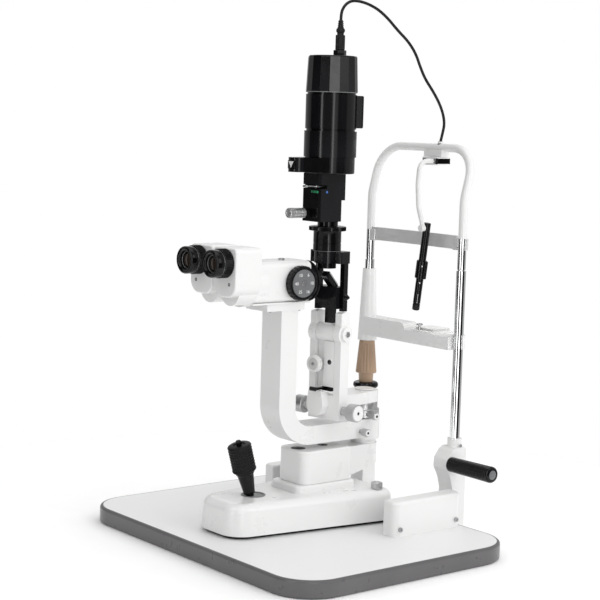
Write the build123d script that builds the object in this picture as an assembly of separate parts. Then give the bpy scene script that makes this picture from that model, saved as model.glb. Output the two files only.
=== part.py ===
"""Slit lamp on its instrument table.

Millimetres. Origin: middle of the table's underside. +Z up, +X the operator's right,
-Y the operator's side, +Y the patient's side. The lamp arm stands SWING degrees off the
middle, the lift is at its lowest and everything else is at its middle position.
"""

import os
from math import cos, pi, radians, sin, tan

from build123d import *

# ---------------------------------------------------------------- driving dimensions
FIT = 0.06  # radial clearance of a shaft in its bore
GAP = 0.4  # clearance between pieces that move past each other
WALL = 3.0  # wall of the moulded covers

TABLE_X, TABLE_Y, TABLE_Z = 550.0, 409.2, 26.0
TABLE_CORNER = 64.0
BAND = 5.0  # thickness of the edge band

# cross axle and its racks
AXLE_Y, AXLE_R = 116.0, 7.0
TOOTH_PITCH, PINION_TEETH = 5.0, 16
PINION_R = TOOTH_PITCH * PINION_TEETH / (2 * pi)
TOOTH_UP, TOOTH_DOWN = 1.4, 1.9
RACK_LINE = 30.6  # height of the racks' pitch line
AXLE_Z = RACK_LINE + PINION_R
RACK_X = (142.0, 154.0)
COVER_X, COVER_Y, COVER_Z = (136.0, 161.0), (61.0, 198.0), (TABLE_Z, 79.0)

# sliding base
BASE_FRONT, BASE_BACK = -152.0, 135.0
BASE_HALF_FRONT, BASE_HALF_BACK = 50.0, 90.0
BASE_Z = (31.0, 77.0)
BASE_DRAFT = 5.0
BASE_WALL = 6.0
DECK_Z = 88.2  # top of the raised block that carries the lift column
LIFT_Y = 34.0  # lift column's axis
LOCK = (68.0, 106.0)

# joystick, leaning towards the operator
STICK_PIVOT = (0.0, -79.5, 56.0)
STICK_LEAN = 16.0
STICK_BORE_R = 15.5

# lift head
LIFT_HALF = 33.0
LIFT_FRONT, LIFT_BACK = -11.0, 84.0
LIFT_Z = (88.6, 139.0)
COLUMN_R = 24.0
SCREW_R = 8.0

# common vertical axis of both arms
PIVOT_Y = 134.0
SPINDLE_R = 12.0
ARM_HUB_R = 25.0

# microscope
ARM_HALF = 23.5
ARM_Z = (148.0, 355.0)
ARM_DEPTH = (-53.0, -22.0)
OPTIC_Z = 395.0  # height of the microscope's axis
BODY_HALF = 30.0
EYE_HALF, EYE_Z = 32.0, 430.0  # half the distance between the eyepieces, and their height
DRUM_Y, DRUM_Z = -27.0, 396.0

# lamp arm and tower
SWING = 10.0
FORK_R = 88.0  # fork's distance from the arms' axis
LENS_R = 101.0  # lamp's optical axis, from the arms' axis
TILT_Z = 316.0
FORK_Z = (184.0, 349.0)
FORK_IN, FORK_OUT = 18.5, 30.5
FORK_HALF = 9.75
ROD_X, ROD_HALF = 24.5, 4.0
SHAFT_Z = 199.0
TILT_KNOB = (-13.0, 268.0)  # the tilt clamp knob's axis, across and up
HEAD_X, HEAD_Y, HEAD_Z = (-9.0, 33.5), (4.0, 50.0), (485.4, 557.0)
FILTER_PIVOT = (12.3, 14.5)
SWITCH_BOX = 60.0  # direction the lamp house's side box faces, from +X

# head rest
COLUMN_X, COLUMN_Y = 107.0, 230.0
CHROME_R, CHROME_TOP_R = 7.5, 6.5  # below and above the groove
HOLDER_X = (91.0, 121.0)
CHROME_Z = (112.0, 461.0)
ARCH_R, ARCH_Z, ARCH_Y = 6.5, 598.0, 250.0
CHIN_Z = (288.0, 318.0)
SLEEVE_Z = (278.0, 396.0)
GROOVE_Z = (411.0, 413.5)
GRIP_YZ = (211.0, 113.0)
SADDLE_Z = ARCH_Z - 14.5  # underside of the saddle that carries the fixation light

# lead from the lamp to the head rest's arch: its diameter and the corners of its route
CORD_D = 4.4
CORD_ROUTE = [
    (14.7, 50.3, 784.0),
    (14.7, 50.3, 793.9),
    (15.0, 54.1, 803.1),
    (15.5, 61.1, 810.1),
    (16.1, 70.3, 813.9),
    (17.0, 82.3, 814.2),
    (18.3, 99.0, 811.3),
    (19.8, 119.0, 804.0),
    (21.3, 138.0, 791.5),
    (22.8, 157.5, 774.5),
    (24.2, 178.0, 759.5),
    (25.4, 193.5, 742.0),
    (26.1, 203.5, 721.5),
    (26.9, 214.0, 703.5),
    (27.9, 229.5, 686.5),
    (28.8, 243.5, 668.5),
    (29.4, 253.0, 650.5),
    (29.6, 256.5, 634.5),
    (29.3, 253.3, 620.3),
    (29.0, 250.0, 607.5),
]

BASE_ALIGN = (Align.CENTER, Align.CENTER, Align.MIN)
TURNS = {"x": Rot(0, 90, 0), "y": Rot(-90, 0, 0), "z": Rot(0, 0, 0)}


# ---------------------------------------------------------------- small helpers
def block(x, y, z):
    """A box from three (low, high) pairs."""
    size = [high - low for low, high in (x, y, z)]
    middle = [(high + low) / 2 for low, high in (x, y, z)]
    return Pos(*middle) * Box(*size)


def along(axis, across, start):
    """The location of a solid that starts at start on the axis and points along it."""
    spots = {"x": (start, *across), "y": (across[0], start, across[-1]), "z": (*across, start)}
    return Pos(*spots[axis]) * TURNS[axis]


def rod(axis, across, span, radius, end_radius=None):
    """A cylinder along an axis, or a cone where end_radius is given."""
    length = span[1] - span[0]
    if end_radius is None:
        return along(axis, across, span[0]) * Cylinder(radius, length, align=BASE_ALIGN)
    return along(axis, across, span[0]) * Cone(radius, end_radius, length, align=BASE_ALIGN)


def tube(axis, across, span, outer, inner):
    """A rod with a bore right through."""
    past = (span[0] - 1, span[1] + 1)
    return rod(axis, across, span, outer) - rod(axis, across, past, inner)


def slab(points, z, draft=0.0):
    """A plan outline raised from z[0] to z[1]."""
    face = make_face(Polyline(*points, close=True))
    return Pos(0, 0, z[0]) * extrude(face, z[1] - z[0], taper=draft)


def side_plate(points, x):
    """An outline in the YZ plane, as (y, z) points, between two X positions."""
    face = make_face(Polyline(*[(0, y, z) for y, z in points], close=True))
    return Pos(x[0], 0, 0) * extrude(face, x[1] - x[0], dir=(1, 0, 0))


def round_upright(shape, radius, pick=lambda edge: True):
    """The shape with its vertical edges rounded."""
    edges = [edge for edge in shape.edges().filter_by(Axis.Z) if pick(edge.center())]
    return fillet(edges, radius)


def round_along_x(shape, radius, pick=lambda centre: True):
    """The shape with its edges along X rounded."""
    edges = [edge for edge in shape.edges().filter_by(Axis.X) if pick(edge.center())]
    return fillet(edges, radius)


def swung(shape, angle=SWING):
    """A shape of the lamp tower, drawn at the middle, turned to the arm's rest position."""
    return Pos(0, PIVOT_Y, 0) * Rot(0, 0, angle) * Pos(0, -PIVOT_Y, 0) * shape


def both(make):
    """The right-hand shape and its mirror image, as separate solids."""
    right = make()
    return Compound(children=[right, mirror(right, about=Plane.YZ)])


def joined(*shapes):
    """Separate solids kept in one node."""
    return Compound(children=list(shapes))


# ---------------------------------------------------------------- table
def table_parts():
    outline = RectangleRounded(TABLE_X, TABLE_Y, TABLE_CORNER)
    whole = extrude(outline, TABLE_Z)
    core = extrude(RectangleRounded(TABLE_X - 2 * BAND, TABLE_Y - 2 * BAND, TABLE_CORNER - BAND), TABLE_Z)
    rims = whole.faces().sort_by(Axis.Z)
    bulged = fillet(rims[0].edges() + rims[-1].edges(), BAND - 1.0)
    return {"table_top": core, "table_edge_band": bulged - core}


def rack_teeth():
    """One toothed rail under the right-hand cover, with a tooth gap below the pinion's axis."""
    foot = block(RACK_X, (66.0, 193.0), (TABLE_Z, RACK_LINE - TOOTH_DOWN))
    root_half, tip_half = 0.28 * TOOTH_PITCH, 0.14 * TOOTH_PITCH
    bottom, top = RACK_LINE - TOOTH_DOWN, RACK_LINE + TOOTH_UP
    teeth = []
    for step in range(-9, 15):
        y = AXLE_Y + (step + 0.5) * TOOTH_PITCH
        shape = [(y - root_half, bottom), (y + root_half, bottom), (y + tip_half, top), (y - tip_half, top)]
        teeth.append(side_plate(shape, RACK_X))
    return foot + teeth


def pinion(x):
    """A toothed wheel on the axle, one tooth straight down."""
    root, tip = PINION_R - TOOTH_DOWN, PINION_R + TOOTH_UP
    wheel = rod("x", (0, 0), x, root)
    half_root, half_tip = 0.26 * TOOTH_PITCH, 0.10 * TOOTH_PITCH
    tooth = side_plate([(-half_root, -root + 0.6), (half_root, -root + 0.6), (half_tip, -tip), (-half_tip, -tip)], x)
    wheel += [Rot(360 / PINION_TEETH * k, 0, 0) * tooth for k in range(PINION_TEETH)]
    return Pos(0, AXLE_Y, AXLE_Z) * wheel


def rail_cover():
    shell = block(COVER_X, COVER_Y, COVER_Z)
    outer = COVER_X[1] - 1
    shell = round_upright(shell, 12.0, lambda c: c.X > outer)
    shell = fillet(shell.faces().sort_by(Axis.Z)[-1].edges().filter_by(lambda e: e.center().X > COVER_X[0] + 1), 5.0)
    hollow = block(
        (COVER_X[0] - 1, COVER_X[1] - WALL),
        (COVER_Y[0] + WALL, COVER_Y[1] - WALL),
        (COVER_Z[0] - 1, COVER_Z[1] - WALL),
    )
    hollow = round_upright(hollow, 9.0, lambda c: c.X > COVER_X[1] - WALL - 1)
    shell -= hollow
    for y in (72.0, 186.0):
        shell -= rod("x", (y, 38.0), (COVER_X[1] - WALL - 1, COVER_X[1] + 1), 2.0)
    return shell


def axle_parts():
    shoe = block((137.5, 141.3), (AXLE_Y - 11, AXLE_Y + 11), (TABLE_Z + GAP + 2, AXLE_Z + 11))
    shoe = round_along_x(shoe, 5.0, lambda c: c.Z > AXLE_Z) - rod("x", (AXLE_Y, AXLE_Z), (130, 150), AXLE_R + FIT)
    axle = fillet(rod("x", (AXLE_Y, AXLE_Z), (-156, 156), AXLE_R).edges(), 1.5)
    wheel = pinion((RACK_X[0] + 1, RACK_X[1] - 1))
    axle += [wheel, mirror(wheel, about=Plane.YZ)]
    return {
        "rail_racks": both(rack_teeth),
        "rail_covers": both(rail_cover),
        "axle_guide_shoes": both(lambda: shoe),
        "cross_axle": axle,
    }


# ---------------------------------------------------------------- sliding base
def base_outline(inset):
    """Plan of the base: narrower at the operator's end, with large front corners."""
    front, back = BASE_FRONT + inset, BASE_BACK - inset
    half_front, half_back = BASE_HALF_FRONT - inset, BASE_HALF_BACK - inset
    face = make_face(
        Polyline((-half_front, front), (half_front, front), (half_back, back), (-half_back, back), close=True)
    )
    corners = face.vertices().sort_by(Axis.Y)
    face = fillet(corners[:2], 36.0 - inset)
    return fillet(face.vertices().group_by(Axis.Y)[-1], 22.0 - inset)


def base_parts():
    low, high = BASE_Z
    body = Pos(0, 0, low) * extrude(base_outline(0), high - low, taper=BASE_DRAFT)
    body = fillet(body.faces().sort_by(Axis.Z)[-1].edges(), 13.0)
    cavity = Pos(0, 0, low) * extrude(base_outline(BASE_WALL), high - low - BASE_WALL, taper=BASE_DRAFT)
    body -= cavity
    deck_face = make_face(Polyline((-38, -24), (38, -24), (42, 92), (-42, 92), close=True))
    deck_face = fillet(deck_face.vertices(), 14.0)
    deck = Pos(0, 0, high - 5.0) * extrude(deck_face, DECK_Z - high + 5.0, taper=8.0)
    body += fillet(deck.faces().sort_by(Axis.Z)[-1].edges(), 4.0)
    for side in (-1, 1):
        body += rod("x", (AXLE_Y, AXLE_Z), (58, 84) if side > 0 else (-84, -58), 13.0) & block(
            (-84, 84), (90, 130.5), (low, 60)
        )
    body -= rod("x", (AXLE_Y, AXLE_Z), (-120, 120), AXLE_R + FIT)
    px, py, pz = STICK_PIVOT
    body -= rod("z", (px, py), (high - 8, high + 8), STICK_BORE_R)
    for side in (-1, 1):
        x = (side * 17.5, side * 24.0)
        cheek = block((min(x), max(x)), (py - 8, py + 8), (pz - 8, high - 5.0))
        body += cheek - rod("x", (py, pz), (-30, 30), 3.0 + FIT)
    body -= rod("z", (0, LIFT_Y), (high - 10, DECK_Z + 1), SCREW_R + 1.0)
    body -= rod("z", LOCK, (high - 8, high + 8), 4.0 + FIT)
    plate = Pos(0, 0, TABLE_Z + GAP) * extrude(base_outline(7.0), low - TABLE_Z - GAP)
    column = tube("z", (0, LIFT_Y), (DECK_Z, 130.0), COLUMN_R, 15.0)
    nut = tube("z", (0, LIFT_Y), (54.0, 67.0), 16.0, SCREW_R + FIT)
    teeth = 32
    for k in range(teeth):
        notch = Pos(16.0, 0, 60.5) * Box(2.4, 1.4, 20.0)
        nut -= Pos(0, LIFT_Y, 0) * Rot(0, 0, 360 / teeth * k) * notch
    knob = rod("z", LOCK, (high + GAP, high + 11.0), 9.0)
    knob = fillet(knob.edges().sort_by(Axis.Z)[-1], 1.2) + rod("z", LOCK, (high - 13.0, high + GAP), 4.0)
    return {
        "base_housing": body,
        "base_glide_plate": plate,
        "lift_column": column,
        "lift_nut_gear": nut,
        "base_lock_knob": knob,
    }


# ---------------------------------------------------------------- joystick
def leaned(shape):
    """A shape drawn upright at the origin, moved to the stick's pivot and leaned over."""
    return Pos(*STICK_PIVOT) * Rot(STICK_LEAN, 0, 0) * shape


def joystick_parts():
    origin = (0, 0)
    ring = tube("z", origin, (-4.5, 4.5), 15.5, 11.5)
    for span in ((-21.5, -14.0), (14.0, 21.5)):
        ring += rod("x", origin, span, 3.0)
    ring -= rod("y", origin, (-20, 20), 2.2 + FIT)
    stick = Sphere(8.0) + rod("z", origin, (4, 26), 6.0) + rod("z", origin, (26, 58), 8.6, 12.6)
    stick = stick + rod("z", origin, (58, 100), 6.0) - rod("z", origin, (88, 101), 4.0 + FIT)
    stick += rod("y", origin, (-14.5, 14.5), 2.2)
    grip = fillet(rod("z", origin, (62, 104), 18.4).edges(), 2.0)
    grip -= rod("z", origin, (61, 100 + GAP), 6.0 + FIT)
    grip -= rod("z", origin, (99, 106), 4.0 + GAP)
    button = rod("z", origin, (93, 111), 4.0)
    button = fillet(button.edges().sort_by(Axis.Z)[-1], 1.4)
    parts = {
        "joystick_gimbal": ring,
        "joystick_stick": stick,
        "joystick_grip": grip,
        "joystick_button": button,
    }
    return {name: leaned(shape) for name, shape in parts.items()}


# ---------------------------------------------------------------- lift head
def lift_parts():
    low, high = LIFT_Z
    box = block((-LIFT_HALF, LIFT_HALF), (LIFT_FRONT, LIFT_BACK), LIFT_Z)
    box = round_upright(box, 15.0, lambda c: c.Y < 0)
    box = round_upright(box, 6.0, lambda c: c.Y > 0)
    box = fillet(box.faces().sort_by(Axis.Z)[-1].edges(), 3.0)
    nose_half = 22.0
    nose = block((-nose_half, nose_half), (LIFT_BACK - 10, PIVOT_Y), (low, high - 3.0))
    nose += rod("z", (0, PIVOT_Y), (low, high - 3.0), nose_half)
    wedge = side_plate([(LIFT_BACK - 1, low - 1), (LIFT_BACK, low), (170, 110), (170, low - 1)], (-40, 40))
    box += nose - wedge
    cavity = block((-LIFT_HALF + 3.5, LIFT_HALF - 3.5), (LIFT_FRONT + 9, LIFT_BACK - 6), (low - 1, high - 9))
    sleeve = rod("z", (0, LIFT_Y), (low, high - 8), 27.0)
    box -= cavity - sleeve
    box -= rod("z", (0, LIFT_Y), (low - 1, 131.0), COLUMN_R + FIT)
    for y, radius in ((4.0, 11.5), (52.0, 8.5)):
        box -= rod("z", (0, y), (high - 0.8, high + 1), radius)
    screw = rod("z", (0, LIFT_Y), (33.0, 131.0), SCREW_R)
    spindle = rod("z", (0, PIVOT_Y), (high - 3.0, 142.6), 19.0) + rod("z", (0, PIVOT_Y), (142.6, 221.0), SPINDLE_R)
    spindle += rod("z", (0, PIVOT_Y), (219.5, 221.0), 15.0)
    return {
        "lift_housing": box,
        "lift_screw": screw,
        "arm_spindle": spindle,
    }


# ---------------------------------------------------------------- microscope
def clamp_knob(y, z, reach):
    """A small clamp knob on the +X side of a hub of radius ARM_HUB_R."""
    head = fillet(rod("x", (y, z), (ARM_HUB_R + 4.0, reach), 6.0).edges(), 1.0)
    return head + rod("x", (y, z), (SPINDLE_R + 2.0, ARM_HUB_R + 4.5), 3.0)


def microscope_arm_parts():
    low, high = ARM_Z
    front, back = ARM_DEPTH
    top = 176.0
    outline = [(front, high), (front, low), (PIVOT_Y, low), (PIVOT_Y, top), (back, top), (back, high)]
    face = make_face(Polyline(*[(0, y, z) for y, z in outline], close=True))
    corners = face.vertices()
    face = fillet([v for v in corners if abs(v.Y - front) < 1 and v.Z < 200], 62.0)
    face = fillet([v for v in face.vertices() if abs(v.Y - back) < 1 and v.Z < 200], 30.0)
    arm = Pos(-ARM_HALF, 0, 0) * extrude(face, 2 * ARM_HALF, dir=(1, 0, 0))
    arm += rod("z", (0, PIVOT_Y), (143.0, top), ARM_HUB_R)
    arm -= rod("z", (0, PIVOT_Y), (140, 180), SPINDLE_R + FIT)
    knob_y = PIVOT_Y - 25.0
    arm -= rod("x", (knob_y, 158.0), (SPINDLE_R + 1, ARM_HUB_R + 2), 3.0 + FIT)
    return {"microscope_arm": arm, "microscope_arm_knob": clamp_knob(knob_y, 158.0, 41.0)}


def microscope_body_parts():
    foot = block((-26.0, 26.0), (-82.0, -12.0), (ARM_Z[1], 368.0))
    body = block((-BODY_HALF, BODY_HALF), (-112.0, -3.0), (368.0, 428.0))
    body = fillet(body.edges().filter_by(Axis.Y), 9.0)
    body = fillet(body.faces().sort_by(Axis.Y)[-1].edges(), 4.0)
    body = body + foot
    drum_span = (BODY_HALF, BODY_HALF + 11.5)
    body -= rod("x", (DRUM_Y, DRUM_Z), (-BODY_HALF + 6, BODY_HALF + 1), 22.0)
    body += rod("y", (0, OPTIC_Z), (-117.0, -84.0), 33.5)
    body -= rod("y", (0, OPTIC_Z), (-106.0, 0.0), 21.0)
    ring = rod("x", (DRUM_Y, DRUM_Z), (drum_span[0] + GAP, drum_span[1]), 26.0)
    lobes = 24
    for k in range(lobes):
        turn = 360 / lobes * k
        notch = Rot(turn, 0, 0) * rod("x", (27.2, 0), (BODY_HALF + 1.6, BODY_HALF + 13), 1.8)
        ring -= Pos(0, DRUM_Y, DRUM_Z) * notch
    ring -= rod("x", (DRUM_Y, DRUM_Z), (drum_span[1] - 1.5, drum_span[1] + 1), 21.0)
    core = rod("x", (DRUM_Y, DRUM_Z), (-BODY_HALF + 7, BODY_HALF + GAP), 21.0)
    for turn in (0, 60, 120):
        bore = Rot(turn, 0, 0) * rod("y", (12.0, 0), (-30, 30), 7.0)
        core -= Pos(-11.0, DRUM_Y, DRUM_Z) * bore
    dial = rod("x", (DRUM_Y, DRUM_Z), (drum_span[1] - 1.5, drum_span[1] + 0.6), 20.5)
    shade = tube("y", (0, OPTIC_Z), (-3.0, 13.5), 29.0, 17.0)
    nose = tube("y", (0, OPTIC_Z), (13.5, 22.0), 19.5, 17.0)
    lens = rod("y", (0, OPTIC_Z), (10.0, 15.0), 17.5)
    return {
        "microscope_body": body,
        "magnification_drum": ring + core + dial,
        "objective_barrel": shade + nose + lens,
    }


def binocular_parts():
    """The right-hand prism box with its eyepiece, and their mirror images."""
    inner, outer = 0.8, 56.0
    front, back = -163.0, -117.4
    face = make_face(Polyline((inner, 0, 381), (outer, 0, 381), (outer, 0, 452), (inner, 0, 452), close=True))
    face = fillet(face.vertices().group_by(Axis.Z)[0], 20.0)
    face = fillet(face.vertices().group_by(Axis.Z)[-1], 7.0)
    box = Pos(0, front, 0) * extrude(face, back - front, dir=(0, 1, 0))
    box = fillet(box.faces().sort_by(Axis.Y)[0].edges(), 2.5)
    box += rod("y", (25.0, 391.0), (-150.0, back), 23.5)
    box -= block((-1, inner - 0.01), (-200, 0), (300, 500))
    box -= rod("y", (EYE_HALF, EYE_Z), (front - 1, front + 12), 15.0)
    barrel = tube("y", (EYE_HALF, EYE_Z), (-192.0, front - GAP), 20.0, 15.0)
    barrel = fillet(barrel.edges().sort_by(Axis.Y)[:1], 1.0)
    barrel += tube("y", (EYE_HALF, EYE_Z), (-178.0, front - GAP), 21.0, 14.0)
    barrel += tube("y", (EYE_HALF, EYE_Z), (front - 6, front + 10), 15.0 - FIT, 12.0)
    barrel += rod("y", (EYE_HALF, EYE_Z), (-186.0, -182.0), 15.5)
    return {
        "prism_box_right": box,
        "prism_box_left": mirror(box, about=Plane.YZ),
        "eyepiece_right": barrel,
        "eyepiece_left": mirror(barrel, about=Plane.YZ),
    }


# ---------------------------------------------------------------- lamp arm and fork
def quadrant_casting(fork_y):
    """The paddle in front of the fork's foot; its top is the track that the tilt latch runs over."""
    outline = [(-18.0, 233.0), (5.0, 233.0), (10.0, 206.0), (4.0, 190.0), (-17.0, 190.0), (-23.0, 206.0)]
    face = make_face(Polyline(*[(x, 0, z) for x, z in outline], close=True))
    face = fillet(face.vertices().filter_by(lambda v: v.Z < 220), 8.0)
    paddle = Pos(0, fork_y - 24.0, 0) * extrude(face, 17.0, dir=(0, 1, 0))
    return paddle - rod("x", (fork_y, TILT_Z), (-40, 40), 90.5)


def lamp_arm_parts():
    fork_y = PIVOT_Y - FORK_R
    hub = rod("z", (0, PIVOT_Y), (201.0, 219.0), 21.5)
    bar = block((-21.5, 21.5), (fork_y, PIVOT_Y), (201.0, 219.0))
    arm = hub + bar
    arm -= rod("z", (0, PIVOT_Y), (200, 220), SPINDLE_R + FIT)
    yoke = block((-FORK_OUT, FORK_OUT), (fork_y - FORK_HALF, fork_y + FORK_HALF), (FORK_Z[0], 221.0))
    arm += yoke
    for side in (-1, 1):
        x = sorted((side * FORK_IN, side * FORK_OUT))
        leg = block(x, (fork_y - FORK_HALF, fork_y + FORK_HALF), (FORK_Z[0], TILT_Z))
        crown = block(x, (fork_y - FORK_HALF, fork_y + FORK_HALF), (TILT_Z, TILT_Z + 40))
        crown &= rod("x", (fork_y, TILT_Z), x, FORK_Z[1] - TILT_Z)
        arm += leg + crown + rod("x", (fork_y, TILT_Z), x, 15.5)
    arm += rod("x", (fork_y, TILT_Z), (FORK_OUT, FORK_OUT + 4.0), 10.5)
    arm += quadrant_casting(fork_y)
    arm += rod("x", (fork_y, TILT_Z), (-FORK_OUT - 1.5, FORK_OUT + 5.0), 5.0)
    arm -= rod("x", (fork_y, SHAFT_Z), (-50, 50), 4.0 + FIT)
    knob = rod("y", TILT_KNOB, (fork_y - 23.0, fork_y - 14.4), 13.0)
    knob = fillet(knob.edges(), 1.0) + rod("y", TILT_KNOB, (fork_y - 15.4, fork_y - 10.4), 2.5)
    ring = rod("z", (0, PIVOT_Y), (176.4, 189.6), 24.0) + rod("z", (0, PIVOT_Y), (189.6, 201.0), 21.2)
    ring -= rod("z", (0, PIVOT_Y), (170, 210), SPINDLE_R + FIT)
    shaft = rod("x", (fork_y, SHAFT_Z), (-44.0, 44.0), 4.0)
    for side in (-1, 1):
        hub_x = sorted((side * (FORK_OUT + GAP), side * 44.0))
        wheel_x = sorted((side * 44.0, side * 61.0))
        wheel = fillet(rod("x", (fork_y, SHAFT_Z), wheel_x, 13.5).edges(), 1.2)
        shaft += rod("x", (fork_y, SHAFT_Z), hub_x, 7.0) + wheel
    lamp_knob_y = PIVOT_Y - 10.0
    ring -= rod("x", (lamp_knob_y, 183.0), (SPINDLE_R + 1, 30), 3.0 + FIT)
    parts = {
        "lamp_arm": arm,
        "tilt_clamp_knob": knob,
        "slit_width_shaft": shaft,
    }
    parts = {name: swung(shape) for name, shape in parts.items()}
    parts["scale_drum"] = ring
    parts["lamp_arm_knob"] = clamp_knob(lamp_knob_y, 183.0, 43.0)
    return parts


# ---------------------------------------------------------------- tilting tower
def tower_parts():
    fork_y = PIVOT_Y - FORK_R
    lens_y = PIVOT_Y - LENS_R
    inside = FORK_IN - GAP
    knuckle = rod("x", (fork_y, TILT_Z), (-inside, inside), 13.5)
    bar = block((-inside, inside), (fork_y - 4.0, fork_y + 7.0), (234.0, TILT_Z))
    rib = block((-3.0, inside), (fork_y - 9.0, fork_y - 4.0), (234.0, 304.0))
    seat = block((-8.0, 8.0), (fork_y - 6.0, fork_y + 6.0), (TILT_Z, 331.0))
    ear_z = (TILT_KNOB[1] - 8.0, TILT_KNOB[1] + 8.0)
    ear = block((TILT_KNOB[0] - 7.0, -7.0), (fork_y - 14.0, fork_y - FORK_HALF - GAP), ear_z)
    ear += block((-inside + 0.5, -7.0), (fork_y - 14.0, fork_y), ear_z)
    lever = knuckle + bar + rib + seat + ear
    lever -= rod("x", (fork_y, TILT_Z), (-30, 30), 5.0 + FIT)
    lever -= rod("y", TILT_KNOB, (fork_y - 20, fork_y - 5), 2.5 + FIT)
    foot_z = TILT_Z - 89.9
    latch = block((-6.0, 12.0), (fork_y - 8.0, fork_y + 5.0), (foot_z + 1.0, 233.6))
    latch += block((-6.0, 0.0), (fork_y - 32.0, fork_y - 8.0), (229.6, 233.0))
    latch += rod("x", (fork_y - 32.0, 232.0), (-8.0, 2.0), 3.2)
    stem = block((-7.0, 7.0), (fork_y - 5.0, fork_y + 5.0), (331.0, 354.0))
    holder = block((-ROD_X + ROD_HALF, ROD_X - ROD_HALF), (fork_y - 13.0, fork_y + 9.0), (354.0, 387.0))
    slope = [(fork_y - 19, 403.0), (fork_y - 13.5, 408.5), (fork_y + 9, 386.0), (fork_y + 9, 380), (fork_y + 4, 380)]
    holder += side_plate(slope, (-5.5, 5.5))
    face = [(fork_y - 13.5, 408.5), (fork_y - 12.1, 409.9), (fork_y + 8, 389.8), (fork_y + 8, 387.0)]
    glass = side_plate(face, (-6.5, 6.5))
    rods = [
        block((side * ROD_X - ROD_HALF, side * ROD_X + ROD_HALF), (fork_y - 4.5, fork_y + 4.5), (350.5, 423.0))
        for side in (-1, 1)
    ]
    for bar_rod in rods:
        holder -= bar_rod
    collar = block((-31.0, 31.0), (lens_y - 4.0, fork_y + 7.0), (423.0, 441.0))
    collar = round_upright(collar, 4.0)
    collar += rod("z", (0, lens_y), (423.0, 441.0), 19.0) + rod("z", (0, lens_y), (415.0, 423.0), 14.5)
    collar -= rod("z", (0, lens_y), (414, 442), 11.0)
    for bar_rod in rods:
        collar += bar_rod
    collar += rod("x", (fork_y, 372.0), (ROD_X + ROD_HALF, ROD_X + ROD_HALF + 7.0), 6.0, 1.5)
    barrel = tube("z", (0, lens_y), (441.0, 471.5), 21.0, 17.0)
    barrel += tube("z", (0, lens_y), (471.5, 478.0), 28.0, 14.0) + tube("z", (0, lens_y), (478.0, 485.0), 15.4, 12.0)
    barrel += rod("z", (0, lens_y), (448.0, 453.0), 17.5)
    parts = {
        "tilt_lever": lever,
        "tilt_latch": latch,
        "mirror_holder": stem + holder,
        "mirror": glass,
        "lens_collar": collar,
        "lens_barrel": barrel,
    }
    return {name: swung(shape) for name, shape in parts.items()}


# ---------------------------------------------------------------- slit head and lamp
def lens_axis():
    return (LENS_R * sin(radians(SWING)), PIVOT_Y - LENS_R * cos(radians(SWING)))


def slit_head_parts():
    axis = lens_axis()
    body = block(HEAD_X, HEAD_Y, HEAD_Z)
    body = chamfer(body.edges().filter_by(Axis.Z), 3.5)
    body += block((HEAD_X[0] + 12, HEAD_X[1] - 4), (HEAD_Y[1] - 1, HEAD_Y[1] + 7), (517.0, HEAD_Z[1]))
    body -= block((HEAD_X[0] + 5, HEAD_X[1] - 5), (HEAD_Y[0] + 5, HEAD_Y[1] - 5), (490.0, 553.0))
    body -= rod("z", axis, (480, 560), 12.0)
    body -= block((HEAD_X[0] - 1, HEAD_X[1] - 6), (HEAD_Y[0] - 1, HEAD_Y[0] + 6), (534.5, 540.0))
    body -= block((HEAD_X[1] - 7, HEAD_X[1] + 1), (HEAD_Y[0] - 1, HEAD_Y[0] + 14), (534.5, 540.0))
    knob_at = (9.0, 498.0)
    body += rod("y", knob_at, (HEAD_Y[0] - 9.0, HEAD_Y[0]), 6.5) - block((-20, 40), (HEAD_Y[0], 60), (480, 520))
    body -= rod("y", knob_at, (HEAD_Y[0] - 10, HEAD_Y[0] + 6), 3.0 + FIT)
    knob = rod("y", knob_at, (HEAD_Y[0] - 39.0, HEAD_Y[0] - 9.0 - GAP), 7.6)
    knob = fillet(knob.edges(), 0.8) + rod("y", knob_at, (HEAD_Y[0] - 12, HEAD_Y[0] + 7), 3.0)
    x, y = FILTER_PIVOT
    filters = rod("z", FILTER_PIVOT, (536.2, 538.2), 5.0) + block((x - 6.3, x + 9.7), (y, 42.0), (536.2, 538.2))
    filters += block((x - 15.0, x), (y - 5.0, y), (536.2, 538.2)) + block((x - 15.0, x - 8.0), (0.5, y), (536.2, 538.2))
    filters -= rod("z", FILTER_PIVOT, (530, 540), 2.0 + FIT)
    body += rod("z", FILTER_PIVOT, (530.0, 553.5), 2.0)
    body += block((HEAD_X[0] + 4.5, axis[0] - 0.3), (24.0, 44.0), (506.4, 508.4))
    jaw = block((axis[0] + 0.2, axis[0] + 5.7), (24.0, 44.0), (504.0, 506.0))
    return {"slit_head": body, "aperture_knob": knob, "filter_lever": filters, "slit_jaw": jaw}


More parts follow.
